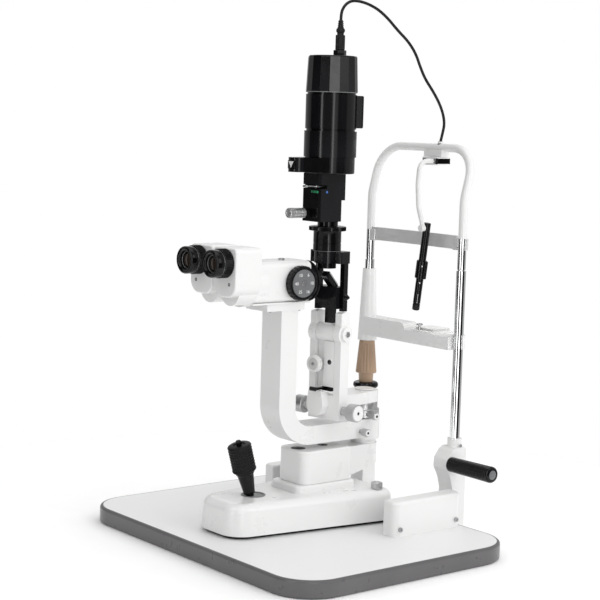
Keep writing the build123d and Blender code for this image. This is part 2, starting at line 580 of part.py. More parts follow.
def lamp_parts():
    axis = lens_axis()
    disc = tube("z", axis, (557.0, 581.5), 37.5, 12.0)
    disc = fillet(disc.edges().filter_by(GeomType.CIRCLE).group_by(Axis.Z)[0], 2.0)
    outline = [(-31.0, -18.0), (31.0, -18.0), (14.0, -61.0), (-14.0, -61.0)]
    tongue = slab(outline, (559.0, 580.5)) + rod("z", (0, -60.0), (559.0, 580.5), 14.4)
    tongue -= block((-8.5, 8.5), (-76.0, -52.0), (563.5, 576.0))
    disc += Pos(axis[0], axis[1], 0) * tongue
    disc -= rod("z", axis, (556.0, 582.0), 12.0)
    disc -= rod("z", axis, (560.0, 582.0), 33.0)
    house = tube("z", axis, (581.5, 620.0), 39.3, 34.0) + tube("z", axis, (620.0, 623.0), 36.4, 34.0)
    house += tube("z", axis, (623.0, 674.0), 38.2, 34.0) + tube("z", axis, (674.0, 678.0), 36.0, 34.0)
    box = block((34.5, 47.5), (-11, 11), (625.0, 673.0))
    box = fillet(box.faces().sort_by(Axis.X)[-1].edges(), 3.0)
    box = Pos(axis[0], axis[1], 0) * Rot(0, 0, SWITCH_BOX) * box
    house += box - rod("z", axis, (620, 680), 36.0)
    facets = 16
    cap = Pos(axis[0], axis[1], 678.0) * extrude(RegularPolygon(38.8, facets), 53.0, taper=2.4)
    cap = fillet(cap.faces().sort_by(Axis.Z)[-1].edges(), 3.0)
    cap -= rod("z", axis, (677.0, 726.0), 31.5)
    plug_at = (14.7, 50.3)
    cap -= rod("z", plug_at, (720, 740), 4.0)
    nut = Pos(plug_at[0], plug_at[1], 731.0) * extrude(RegularPolygon(9.8, 6), 9.0)
    plug = nut + rod("z", plug_at, (722.0, 731.0), 4.0) + rod("z", plug_at, (740.0, 762.0), 7.2)
    plug = plug + rod("z", plug_at, (762.0, 766.0), 5.4) + rod("z", plug_at, (766.0, 784.0), 4.6, 3.6)
    house += tube("z", axis, (583.0, 588.0), 34.5, 20.0) + tube("z", axis, (626.0, 630.0), 34.5, 9.0)
    house += tube("z", axis, (614.0, 640.0), 10.0, 6.0)
    bulb = rod("z", axis, (602.0, 628.0), 5.95) + Pos(axis[0], axis[1], 602.0) * Sphere(5.95)
    return {
        "aperture_housing": disc,
        "lamp_house": house,
        "lamp_cap": cap,
        "lamp_plug": plug,
        "lamp_bulb": bulb,
    }


# ---------------------------------------------------------------- head rest
def column_holder():
    """The right-hand casting: bolted to the table's rear edge, it carries a column and a grip."""
    edge = TABLE_Y / 2
    outline = [
        (edge, 3.0),
        (243.0, 3.0),
        (243.0, 132.0),
        (240.0, 137.0),
        (220.0, 137.0),
        (213.0, 133.0),
        (203.0, 121.0),
        (202.0, 106.0),
        (211.0, 90.0),
        (216.0, 72.0),
        (216.0, 24.0),
        (edge, 24.0),
    ]
    face = make_face(Polyline(*[(0, y, z) for y, z in outline], close=True))
    face = fillet([v for v in face.vertices() if v.Y < 214 and 80 < v.Z < 130], 9.0)
    solid = Pos(HOLDER_X[0], 0, 0) * extrude(face, HOLDER_X[1] - HOLDER_X[0], dir=(1, 0, 0))
    solid += rod("z", (COLUMN_X, COLUMN_Y), (130.0, 150.0), 11.0)
    solid -= rod("z", (COLUMN_X, COLUMN_Y), (CHROME_Z[0], 151.0), CHROME_R)
    solid -= rod("x", GRIP_YZ, (HOLDER_X[1] - 12.0, HOLDER_X[1] + 1.0), 5.0)
    return solid


def head_rest_parts():
    grip_x = (HOLDER_X[1], HOLDER_X[1] + 90.0)
    grip = rod("x", GRIP_YZ, grip_x, 11.5, 12.6)
    grip = fillet(grip.edges().sort_by(Axis.X)[-1], 4.0) + rod("x", GRIP_YZ, (HOLDER_X[1] - 12.0, HOLDER_X[1]), 5.0)
    column = rod("z", (COLUMN_X, COLUMN_Y), (CHROME_Z[0], GROOVE_Z[0]), CHROME_R)
    column += rod("z", (COLUMN_X, COLUMN_Y), (GROOVE_Z[1], CHROME_Z[1]), CHROME_TOP_R)
    column += rod("z", (COLUMN_X, COLUMN_Y), GROOVE_Z, CHROME_TOP_R - 1.0)
    start = CHROME_Z[1]
    path = FilletPolyline(
        (-COLUMN_X, COLUMN_Y, start),
        (-COLUMN_X, COLUMN_Y, 520.0),
        (-COLUMN_X, ARCH_Y, ARCH_Z),
        (COLUMN_X, ARCH_Y, ARCH_Z),
        (COLUMN_X, COLUMN_Y, 520.0),
        (COLUMN_X, COLUMN_Y, start),
        radius=[70.0, 46.0, 46.0, 70.0],
    )
    arch = sweep(Plane(path @ 0, z_dir=path % 0) * Circle(ARCH_R), path=path)
    arch += rod("z", (29.0, ARCH_Y), (ARCH_Z, CORD_ROUTE[-1][2]), 4.4)
    saddle = block((1.0, 41.0), (ARCH_Y - 8.5, ARCH_Y + 8.5), (SADDLE_Z, SADDLE_Z + 11.0))
    saddle -= rod("x", (ARCH_Y, ARCH_Z), (0, 42), ARCH_R)
    saddle -= rod("z", (21.0, ARCH_Y), (SADDLE_Z - 1, SADDLE_Z + 4.5), 4.0 + FIT)
    band = extrude(
        make_face(
            ThreePointArc((-98, 225.0), (0, 230.0), (98, 225.0))
            + Line((98, 225.0), (98, 229.0))
            + ThreePointArc((98, 229.0), (0, 234.0), (-98, 229.0))
            + Line((-98, 229.0), (-98, 225.0))
        ),
        21.0,
    )
    band = Pos(0, 0, 444.0) * band
    clamp = rod("z", (COLUMN_X, COLUMN_Y), (443.0, 461.0), 9.0) & block((95, 120), (COLUMN_Y, 240), (440, 465))
    clamp += block((92.0, 102.0), (224.0, 236.0), (443.0, 461.0))
    clamp -= rod("z", (COLUMN_X, COLUMN_Y), (440, 465), CHROME_TOP_R)
    for half in (clamp, mirror(clamp, about=Plane.YZ)):
        band += half
    return {
        "column_holders": both(column_holder),
        "hand_grips": both(lambda: grip),
        "head_columns": both(lambda: column),
        "head_arch": arch,
        "forehead_band": band,
        "fixation_saddle": saddle,
    }


def fixation_parts():
    box = block((4.0, 38.0), (ARCH_Y - 15.0, ARCH_Y + 15.0), (SADDLE_Z - 13.0, SADDLE_Z - GAP))
    box = fillet(box.edges().filter_by(Axis.Z), 2.5)
    box += rod("z", (21.0, ARCH_Y), (SADDLE_Z - 2.0, SADDLE_Z + 3.5), 4.0)
    neck_r = 3.6
    path = FilletPolyline(
        (28.0, 237.0, 577.0),
        (26.0, 211.0, 577.0),
        (24.5, 209.0, 540.0),
        (29.0, 208.0, 505.0),
        (43.5, 205.0, 476.0),
        radius=[15.0, 60.0, 40.0],
    )
    neck = sweep(Plane(path @ 0, z_dir=path % 0) * Circle(neck_r), path=path)
    knuckle = (42.0, 215.0, 473.0)
    neck += rod("y", (knuckle[0], knuckle[2]), (201.0, 208.8), 5.0)
    lean = 8.0
    target = rod("z", (0, 0), (-132.0, 8.0), 5.8)
    target = fillet(target.edges().sort_by(Axis.Z)[0], 1.2)
    target += rod("z", (0, 0), (-80.0, -52.0), 8.6) + block((0.0, 11.0), (-3, 3), (-80, -52))
    target = Pos(*knuckle) * Rot(0, lean, 0) * target
    return {"fixation_gooseneck": box + neck, "fixation_rod": target}


def chin_rest_parts():
    low, high = CHIN_Z
    fit = CHROME_R + FIT
    sleeve = rod("z", (-COLUMN_X, COLUMN_Y), SLEEVE_Z, 15.6, 10.6)
    collar = rod("z", (COLUMN_X, COLUMN_Y), (low + 2, 312.0), 9.8)
    bar = block((-COLUMN_X, -2.0), (COLUMN_Y - 15.0, COLUMN_Y + 15.0), (low, high))
    bar = fillet(bar.edges().filter_by(Axis.Y).sort_by(Axis.X)[-2:].sort_by(Axis.Z)[-1:], 9.0)
    lip = block((-6.0, COLUMN_X - 4.0), (COLUMN_Y - 15.0, COLUMN_Y + 15.0), (low, high - 10.0))
    cup = block((2.0, 62.0), (COLUMN_Y, COLUMN_Y + 40.0), (low + 6.0, high - 10.0))
    cup = fillet(cup.edges().filter_by(Axis.Z).sort_by(Axis.Y)[-2:], 14.0)
    bracket = sleeve + collar + bar + lip + cup
    bracket -= rod("z", (-COLUMN_X, COLUMN_Y), (low - 20, 400), fit)
    bracket -= rod("z", (COLUMN_X, COLUMN_Y), (low - 10, 330), fit)
    bracket -= block((COLUMN_X - fit, COLUMN_X + 20), (COLUMN_Y - 20, COLUMN_Y), (low - 10, 330))
    pad_z = high - 10.0
    pad = block((7.0, 57.0), (COLUMN_Y - 13.0, COLUMN_Y + 38.0), (pad_z, pad_z + 2.4))
    pad = fillet(pad.edges().filter_by(Axis.Z), 10.0)
    knob_top = SLEEVE_Z[0] - GAP
    knob = rod("z", (-COLUMN_X, COLUMN_Y), (knob_top - 55.0, knob_top), 17.3, 12.5)
    flutes = 18
    for k in range(flutes):
        groove = Pos(17.2, 0, knob_top - 52.0) * Rot(0, -5.0, 0) * rod("z", (0.6, 0), (0, 60), 1.3)
        knob -= Pos(-COLUMN_X, COLUMN_Y, 0) * Rot(0, 0, 360 / flutes * k) * groove
    knob += rod("z", (-COLUMN_X, COLUMN_Y), (knob_top - 70.0, knob_top - 55.0), 11.6, 12.6)
    knob -= rod("z", (-COLUMN_X, COLUMN_Y), (knob_top - 90, knob_top + 1), fit)
    flange = rod("z", (-COLUMN_X, COLUMN_Y), (knob_top - 80.0, knob_top - 70.0), 20.8)
    flange = fillet(flange.edges().filter_by(GeomType.CIRCLE), 4.0)
    flange -= rod("z", (-COLUMN_X, COLUMN_Y), (knob_top - 90, knob_top), fit)
    return {
        "chin_bracket": bracket,
        "chin_pad": pad,
        "chin_height_knob": joined(knob, flange),
    }


# ---------------------------------------------------------------- fasteners
def cap_screw(at, turn, length=8.0):
    """An M4 cap screw with its head's underside at the point, pointing back along the turn."""
    head = Cylinder(3.5, 3.0, align=BASE_ALIGN) - Pos(0, 0, 1.5) * Cylinder(1.6, 3.0, align=BASE_ALIGN)
    return Pos(*at) * turn * (head + Pos(0, 0, -length) * Cylinder(1.95, length, align=BASE_ALIGN))


def fastener_parts():
    outward = Rot(0, 90, 0)

    def cover_screws(side):
        turn = outward if side > 0 else Rot(0, -90, 0)
        return [cap_screw((side * (COVER_X[1]), y, 38.0), turn, 6.0) for y in (72.0, 186.0)]

    screws = [screw for side in (-1, 1) for screw in cover_screws(side)]
    return {"cover_screws": joined(*screws)}


# ---------------------------------------------------------------- lead
def corner_radii(points):
    """The largest arc that each corner's two runs allow."""
    radii = []
    for before, at, after in zip(points, points[1:], points[2:]):
        into, out = Vector(*at) - Vector(*before), Vector(*after) - Vector(*at)
        half_turn = radians(into.get_angle(out)) / 2
        radii.append(0.45 * min(into.length, out.length) / tan(half_turn))
    return radii


def cord_part():
    radii = corner_radii(CORD_ROUTE)
    path = FilletPolyline(*CORD_ROUTE, radius=radii)
    cord = sweep(Plane(path @ 0, z_dir=path % 0) * Circle(CORD_D / 2), path=path)
    print("lead: radii", [round(r) for r in radii], "length", round(path.length, 1))
    print("lead: volume", round(cord.volume, 1), "against", round(path.length * pi * CORD_D**2 / 4, 1))
    return {"lamp_cord": cord}


def main():
    os.makedirs("parts", exist_ok=True)
    makers = (
        table_parts,
        axle_parts,
        base_parts,
        joystick_parts,
        lift_parts,
        microscope_arm_parts,
        microscope_body_parts,
        binocular_parts,
        lamp_arm_parts,
        tower_parts,
        slit_head_parts,
        lamp_parts,
        head_rest_parts,
        fixation_parts,
        chin_rest_parts,
        fastener_parts,
        cord_part,
    )
    for make in makers:
        for name, shape in make().items():
            export_step(shape, f"parts/{name}.step")


main()
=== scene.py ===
from math import cos, pi, radians, sin

import bmesh
import bpy
from mathutils import Matrix, Vector


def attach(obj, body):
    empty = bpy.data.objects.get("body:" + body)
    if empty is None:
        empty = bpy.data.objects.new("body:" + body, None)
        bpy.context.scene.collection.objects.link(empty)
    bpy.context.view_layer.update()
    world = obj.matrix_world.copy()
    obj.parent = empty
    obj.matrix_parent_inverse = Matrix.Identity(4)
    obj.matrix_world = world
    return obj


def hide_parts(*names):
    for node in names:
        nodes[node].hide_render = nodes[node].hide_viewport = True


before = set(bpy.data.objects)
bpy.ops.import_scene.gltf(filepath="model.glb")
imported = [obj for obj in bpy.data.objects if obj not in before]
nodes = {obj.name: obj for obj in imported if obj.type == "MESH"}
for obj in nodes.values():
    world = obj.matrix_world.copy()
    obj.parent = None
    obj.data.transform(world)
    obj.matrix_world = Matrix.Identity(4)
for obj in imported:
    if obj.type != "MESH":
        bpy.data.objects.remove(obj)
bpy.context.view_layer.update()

MM = 0.001
scene = bpy.context.scene

# ------------------------------------------------------------------ materials


def links(material):
    """The material's node tree with its shader, ready for more nodes."""
    tree = material.node_tree
    return tree, tree.nodes["Principled BSDF"], tree.nodes["Material Output"]


def noise(tree, scale, detail=4.0, rough=0.55, stretch=None):
    """A noise over object coordinates, which are metres."""
    place = tree.nodes.new("ShaderNodeTexCoord")
    texture = tree.nodes.new("ShaderNodeTexNoise")
    texture.inputs["Scale"].default_value = scale
    texture.inputs["Detail"].default_value = detail
    texture.inputs["Roughness"].default_value = rough
    vector = place.outputs["Object"]
    if stretch:
        mapping = tree.nodes.new("ShaderNodeMapping")
        mapping.inputs["Scale"].default_value = stretch
        tree.links.new(vector, mapping.inputs["Vector"])
        vector = mapping.outputs["Vector"]
    tree.links.new(vector, texture.inputs["Vector"])
    return texture.outputs["Fac"]


def remap(tree, value, low, high, from_low=0.3, from_high=0.7):
    node = tree.nodes.new("ShaderNodeMapRange")
    node.inputs["From Min"].default_value = from_low
    node.inputs["From Max"].default_value = from_high
    node.inputs["To Min"].default_value = low
    node.inputs["To Max"].default_value = high
    tree.links.new(value, node.inputs["Value"])
    return node.outputs["Result"]


def ramp(tree, value, stops):
    node = tree.nodes.new("ShaderNodeValToRGB")
    elements = node.color_ramp.elements
    elements[0].position, elements[0].color = stops[0][0], (*stops[0][1], 1)
    elements[1].position, elements[1].color = stops[-1][0], (*stops[-1][1], 1)
    for position, color in stops[1:-1]:
        elements.new(position).color = (*color, 1)
    tree.links.new(value, node.inputs["Fac"])
    return node.outputs["Color"]


def blend_color(tree, factor, first, second):
    node = tree.nodes.new("ShaderNodeMix")
    node.data_type = "RGBA"
    tree.links.new(factor, node.inputs["Factor"])
    for socket, color in ((node.inputs[6], first), (node.inputs[7], second)):
        if hasattr(color, "is_linked"):
            tree.links.new(color, socket)
        else:
            socket.default_value = (*color, 1)
    return node.outputs[2]


def surface(
    name,
    color,
    rough=(0.3, 0.4),
    metal=0.0,
    coat=0.0,
    vary=0.06,
    patch=18.0,
    grain=900.0,
    bump=0.05,
    stretch=None,
    edge=None,
    spec=None,
):
    """A finish with cloudy colour variation, a fine grained bump, a varying gloss and, where an edge colour
    is given, that colour blended onto sharply convex edges.
    """
    material = bpy.data.materials.new(name)
    material.use_nodes = True
    tree, shader, _ = links(material)
    dark = tuple(c * (1 - vary) for c in color)
    light = tuple(min(1.0, c * (1 + vary)) for c in color)
    clouds = noise(tree, patch, 5.0, 0.6, stretch)
    tint = ramp(tree, clouds, [(0.3, dark), (0.5, color), (0.7, light)])
    specks = noise(tree, patch * 23, 3.0, 0.7)
    shade = remap(tree, specks, 0.0, 0.35, 0.58, 0.75)
    tint = blend_color(tree, shade, tint, tuple(c * (1 - vary * 1.6) for c in color))
    if edge:
        # the edge colour is blended onto sharply convex edges, where pointiness is high
        geometry = tree.nodes.new("ShaderNodeNewGeometry")
        convex_edge_tint = remap(tree, geometry.outputs["Pointiness"], 0.0, 0.6, 0.53, 0.62)
        tint = blend_color(tree, convex_edge_tint, tint, edge)
    tree.links.new(tint, shader.inputs["Base Color"])
    gloss = noise(tree, patch * 4, 4.0, 0.6, stretch)
    tree.links.new(remap(tree, gloss, *rough), shader.inputs["Roughness"])
    shader.inputs["Metallic"].default_value = metal
    shader.inputs["Coat Weight"].default_value = coat
    shader.inputs["Coat Roughness"].default_value = 0.08
    if spec is not None:
        shader.inputs["Specular IOR Level"].default_value = spec
    relief = tree.nodes.new("ShaderNodeBump")
    relief.inputs["Strength"].default_value = bump
    relief.inputs["Distance"].default_value = 0.0004
    tree.links.new(noise(tree, grain, 3.0, 0.6, stretch), relief.inputs["Height"])
    tree.links.new(relief.outputs["Normal"], shader.inputs["Normal"])
    return material


def clear(name, color, rough=0.02, ior=1.5):
    """Glass with a faint tinted bloom and specks of dust on it."""
    material = surface(name, color, (rough, rough + 0.03), vary=0.04, bump=0.01, patch=40)
    _, shader, _ = links(material)
    shader.inputs["Transmission Weight"].default_value = 1.0
    shader.inputs["IOR"].default_value = ior
    shader.inputs["Coat Weight"].default_value = 0.5
    return material


WHITE = surface(
    "white_paint", (0.79, 0.79, 0.785), (0.26, 0.34), coat=0.3, vary=0.008, patch=7, grain=420,
    bump=0.03,
)
SHELL = surface(
    "white_shell", (0.79, 0.79, 0.785), (0.3, 0.38), coat=0.2, vary=0.008, patch=7, grain=700,
    bump=0.04,
)
LAMINATE = surface(
    "laminate", (0.80, 0.80, 0.80), (0.36, 0.46), vary=0.01, patch=9, grain=1500, bump=0.06, spec=0.4,
)
EDGE = surface(
    "edge_band", (0.11, 0.107, 0.11), (0.26, 0.36), vary=0.1, patch=14, grain=1300, bump=0.08, spec=0.5,
)
BLACK = surface(
    "black_paint", (0.003, 0.003, 0.0034), (0.12, 0.17), vary=0.2, grain=500, bump=0.012, spec=0.26,
    edge=(0.012, 0.012, 0.014),
)
GLOSS = surface(
    "black_gloss", (0.003, 0.003, 0.0034), (0.1, 0.15), vary=0.2, grain=600, bump=0.012, spec=0.28,
    edge=(0.012, 0.012, 0.014),
)
MATTE = surface(
    "black_matte", (0.005, 0.005, 0.0055), (0.36, 0.48), vary=0.2, grain=1700, bump=0.12, spec=0.22,
    edge=(0.016, 0.016, 0.016),
)
STEEL = surface(
    "turned_steel", (0.46, 0.46, 0.47), (0.24, 0.38), metal=1.0, vary=0.08, grain=900, bump=0.06,
    stretch=(1, 1, 9),
)
CHROME = surface("chrome", (0.86, 0.865, 0.87), (0.03, 0.07), metal=1.0, vary=0.03, grain=250, bump=0.008)
SATIN = surface(
    "satin_aluminium", (0.56, 0.56, 0.565), (0.3, 0.38), metal=0.85, vary=0.03, grain=1500, bump=0.012,
)
BAND = surface(
    "satin_band", (0.82, 0.82, 0.82), (0.3, 0.42), metal=0.45, vary=0.05, patch=10, grain=1200,
    bump=0.05, stretch=(1, 1, 5),
)
TAN = surface(
    "tan_plastic", (0.40, 0.275, 0.185), (0.34, 0.46), vary=0.1, patch=30, grain=1200, bump=0.1,
    edge=(0.52, 0.39, 0.28),
)
BRASS = surface("brass", (0.56, 0.40, 0.17), (0.26, 0.4), metal=1.0, vary=0.1, grain=900, bump=0.05)
RUBBER = surface("rubber", (0.009, 0.009, 0.0095), (0.46, 0.6), vary=0.15, grain=2200, bump=0.18, spec=0.3)
CABLE = surface(
    "cable_rubber", (0.008, 0.008, 0.0085), (0.36, 0.5), vary=0.15, grain=1900, bump=0.1, spec=0.3,
)
GREY = surface("grey_plastic", (0.145, 0.148, 0.152), (0.34, 0.46), vary=0.07, grain=1400, bump=0.08)
PALE = surface("pale_grey_plastic", (0.56, 0.56, 0.55), (0.36, 0.48), vary=0.06, grain=1400, bump=0.08)
INK = surface("ink", (0.03, 0.032, 0.035), (0.5, 0.6), vary=0.12, grain=2000, bump=0.04)
PALE_INK = surface("pale_ink", (0.74, 0.75, 0.74), (0.5, 0.6), vary=0.05, grain=2000, bump=0.04)
PAPER = surface(
    "paper", (0.83, 0.83, 0.82), (0.7, 0.8), vary=0.04, patch=40, grain=3000, bump=0.1, spec=0.2,
)
GREEN = surface("green_dot", (0.02, 0.30, 0.13), (0.35, 0.45), vary=0.1, grain=1500, bump=0.04)
BLUE = surface("blue_dot", (0.04, 0.13, 0.42), (0.2, 0.3), coat=0.5, vary=0.1, grain=1500, bump=0.04)
GLASS = clear("lens_glass", (0.95, 0.97, 0.98))
COATED = surface(
    "coated_lens", (0.022, 0.014, 0.010), (0.06, 0.12), coat=0.3, vary=0.35, patch=60, bump=0.01,
)
MIRROR = surface(
    "front_mirror", (0.86, 0.87, 0.88), (0.02, 0.05), metal=1.0, vary=0.02, grain=300, bump=0.005,
)
BULB = clear("bulb_glass", (0.97, 0.96, 0.93), 0.04)

FINISH = {
    WHITE: "base_housing lift_housing microscope_arm microscope_body prism_box_left prism_box_right lamp_arm "
    "column_holders chin_bracket head_arch tilt_lever arm_spindle",
    SHELL: "rail_covers fixation_saddle fixation_gooseneck",
    LAMINATE: "table_top",
    EDGE: "table_edge_band",
    BLACK: "objective_barrel mirror_holder lens_collar lens_barrel slit_head aperture_housing "
    "lamp_house lamp_cap",
    GLOSS: "joystick_stick joystick_button magnification_drum eyepiece_left eyepiece_right "
    "tilt_latch lamp_plug fixation_rod hand_grips",
    MATTE: "axle_guide_shoes base_glide_plate joystick_grip",
    STEEL: "rail_racks cover_screws cross_axle lift_column joystick_gimbal lift_screw slit_jaw",
    CHROME: "head_columns",
    SATIN: "base_lock_knob microscope_arm_knob scale_drum lamp_arm_knob aperture_knob filter_lever "
    "slit_width_shaft tilt_clamp_knob",
    BAND: "forehead_band",
    TAN: "chin_height_knob",
    BRASS: "lift_nut_gear",
    CABLE: "lamp_cord",
    PAPER: "chin_pad",
    MIRROR: "mirror",
    BULB: "lamp_bulb",
}
for material, names in FINISH.items():
    for name in names.split():
        node = nodes[name]
        node.data.materials.clear()
        node.data.materials.append(material)

# ------------------------------------------------------------------ mesh tools

# places in metres, as the CAD has them
SWING = radians(10)  # the lamp arm's angle off the middle
PIVOT = Vector((0, 0.134, 0))  # common axis of both arms
EYE_X, EYE_FACE_Y, EYE_Z = 0.032, -0.1634, 0.430
DRUM_X, DRUM_Y, DRUM_Z = 0.030, -0.027, 0.396
OPTIC_Z = 0.395  # height of the microscope's axis
STICK_PIVOT = (0, -0.0795, 0.056)
STICK_LEAN = radians(16)
BASE_TOP = 0.077
COLUMN_X, COLUMN_Y = 0.107, 0.230
LAMP_AXIS = (0.017538, 0.034534, 0)
PLUG_AXIS = (0.0147, 0.0503, 0)
FLOOR_RADIUS = 0.8

# places in millimetres, in the tower's own frame before its swing
FORK_Y, TILT_Z, SHAFT_Z = 46.0, 316.0, 199.0

TOWER = Matrix.Translation(PIVOT) @ Matrix.Rotation(SWING, 4, "Z") @ Matrix.Translation(-PIVOT)
STICK = Matrix.Translation(STICK_PIVOT) @ Matrix.Rotation(STICK_LEAN, 4, "X")


def put(name, bm, material, body, where=None, sharp=35):
    """The mesh as a piece that rides on a body. Sizes so far are millimetres."""
    bm.transform(Matrix.Scale(MM, 4))
    if where is not None:
        bm.transform(where)
    bmesh.ops.recalc_face_normals(bm, faces=bm.faces)
    mesh = bpy.data.meshes.new(name)
    bm.to_mesh(mesh)
    bm.free()
    mesh.shade_smooth()
    mesh.set_sharp_from_angle(angle=radians(sharp))
    mesh.materials.append(material)
    piece = bpy.data.objects.new(name, mesh)
    scene.collection.objects.link(piece)
    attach(piece, body)
    return piece


def aim(origin, direction):
    """The matrix that stands a shape made along Z on origin, along direction."""
    turn = Vector(direction).to_track_quat("Z", "Y").to_matrix().to_4x4()
    return Matrix.Translation(origin) @ turn


def turned(profile, steps=96, relief=None, bm=None, at=None):
    """A turned shape along Z from (height, radius) points; relief(height, angle) adds to the radius."""
    bm = bm or bmesh.new()
    rings = []
    for height, radius in profile:
        ring = []
        for k in range(steps):
            angle = 2 * pi * k / steps
            r = radius + (relief(height, angle) if relief and radius > 0.01 else 0)
            ring.append(bm.verts.new((r * cos(angle), r * sin(angle), height)))
        rings.append(ring)
    for low, high in zip(rings, rings[1:]):
        for k in range(steps):
            after = (k + 1) % steps
            bm.faces.new((low[k], low[after], high[after], high[k]))
    for ring in (rings[0], rings[-1]):
        bm.faces.new(ring)
    if at is not None:
        bmesh.ops.transform(bm, matrix=at, verts=[v for ring in rings for v in ring])
    return bm


def fine(low, high, radius, step):
    """A straight stretch of a profile in fine steps, for knurling."""
    count = max(2, round((high - low) / step))
    return [(low + (high - low) * k / count, radius) for k in range(count + 1)]


def knurl(low, high, count, depth, pitch=None):
    """Straight ridges between two heights, or small pyramids where pitch is given."""

    def relief(height, angle):
        if not low <= height <= high:
            return 0.0
        wave = abs((angle * count / (2 * pi)) % 1.0 - 0.5) * 2
        if pitch:
            wave = min(wave, abs((height / pitch) % 1.0 - 0.5) * 2)
        return -depth * (1 - wave)

    return relief


def bevelled(low, high, radius, bm=None, segments=3):
    """A box between two corners with rounded edges."""
    bm = bm or bmesh.new()
    size = [b - a for a, b in zip(low, high)]
    middle = [(a + b) / 2 for a, b in zip(low, high)]
    made = bmesh.ops.create_cube(bm, size=1.0)["verts"]
    bmesh.ops.transform(bm, matrix=Matrix.Translation(middle) @ Matrix.Diagonal((*size, 1)), verts=made)
    edges = {edge for vert in made for edge in vert.link_edges}
    bmesh.ops.bevel(bm, geom=list(edges), offset=radius, segments=segments, affect="EDGES", profile=0.5)
    return bm


def screw_head(bm, at, radius=2.6, height=1.4, slot=True):
    """A small screw head with a driver recess, standing at a place."""
    profile = [(0, radius), (height * 0.55, radius), (height, radius * 0.78)]
    if slot:
        profile += [(height, radius * 0.42), (height * 0.3, radius * 0.38)]
    turned(profile, 24, bm=bm, at=at)
    return bm


# ------------------------------------------------------------------ camera
camera_data = bpy.data.cameras.new("camera")
camera_data.lens = 95.4
camera_data.sensor_width = 36.0
camera = bpy.data.objects.new("camera", camera_data)
scene.collection.objects.link(camera)
az, pitch, roll = radians(51.24), radians(6.53), radians(1.65)
back = Vector((sin(az) * cos(pitch), -cos(az) * cos(pitch), sin(pitch)))
right = Vector((cos(az), sin(az), 0))
up = back.cross(right)
right, up = right * cos(roll) + up * sin(roll), up * cos(roll) - right * sin(roll)
turn = Matrix((right, up, back)).transposed().to_4x4()
camera.matrix_world = Matrix.Translation((1.8528, -1.4881, 0.638)) @ turn
scene.camera = camera
scene.view_settings.view_transform = "Standard"

# ------------------------------------------------------------------ lead
ROUTE = [
    (0.0147, 0.0503, 0.7840),
    (0.0147, 0.0503, 0.7939),
    (0.0150, 0.0541, 0.8031),
    (0.0155, 0.0611, 0.8101),
    (0.0161, 0.0703, 0.8139),
    (0.0170, 0.0823, 0.8142),
    (0.0183, 0.0990, 0.8113),
    (0.0198, 0.1190, 0.8040),
    (0.0213, 0.1380, 0.7915),
    (0.0228, 0.1575, 0.7745),
    (0.0242, 0.1780, 0.7595),
    (0.0254, 0.1935, 0.7420),
    (0.0261, 0.2035, 0.7215),
    (0.0269, 0.2140, 0.7035),
    (0.0279, 0.2295, 0.6865),
    (0.0288, 0.2435, 0.6685),
    (0.0294, 0.2530, 0.6505),
    (0.0296, 0.2565, 0.6345),
    (0.0293, 0.2533, 0.6203),
    (0.0290, 0.2500, 0.6075),
]
curve = bpy.data.curves.new("lamp_lead", "CURVE")
curve.dimensions = "3D"
curve.bevel_depth = 0.0022
curve.bevel_resolution = 6
curve.use_fill_caps = True
curve.materials.append(CABLE)
spline = curve.splines.new("NURBS")
spline.points.add(len(ROUTE) - 1)
for point, place in zip(spline.points, ROUTE):
    point.co = (*place, 1)
spline.order_u = 3
spline.use_endpoint_u = True
spline.resolution_u = 12
lead = bpy.data.objects.new("lamp_lead", curve)
scene.collection.objects.link(lead)
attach(lead, "table")
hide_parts("lamp_cord")
gland = turned([(598, 2.3), (598, 4.6), (604, 4.6), (605, 4.2), (607.7, 3.4), (607.7, 2.3)], 48)
put("arch_grommet", gland, RUBBER, "table", Matrix.Translation((0.029, 0.250, 0)))

# ------------------------------------------------------------------ joystick
stick_relief = knurl(65.2, 100.6, 26, 1.5, 4.4)
grip = turned(
    [(62.2, 6.4), (62.2, 16.6), (63.2, 17.8), (64.6, 18.2)]
    + fine(65.2, 100.6, 18.3, 0.5)
    + [(101.6, 18.1), (103.2, 17.2), (104, 15.6), (104, 9.5), (102.6, 8.6), (102.6, 4.6)],
    180,
    stick_relief,
)
piece = put("joystick_grip_knurled", grip, MATTE, "stick_grip", STICK)
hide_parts("joystick_grip")
collar = turned([(57.5, 6.2), (57.5, 13.4), (58.3, 14.0), (60.6, 14.0), (61.4, 13.2), (61.4, 6.2)], 64)
put("joystick_collar", collar, GLOSS, "stick", STICK)
ring = turned([(0, 15.6), (0, 18.2), (0.5, 18.6), (0.9, 18.2), (0.9, 15.9), (-0.3, 15.6)], 96)
put("joystick_hole_rim", ring, GREY, "base", Matrix.Translation((0, STICK_PIVOT[1], BASE_TOP)))

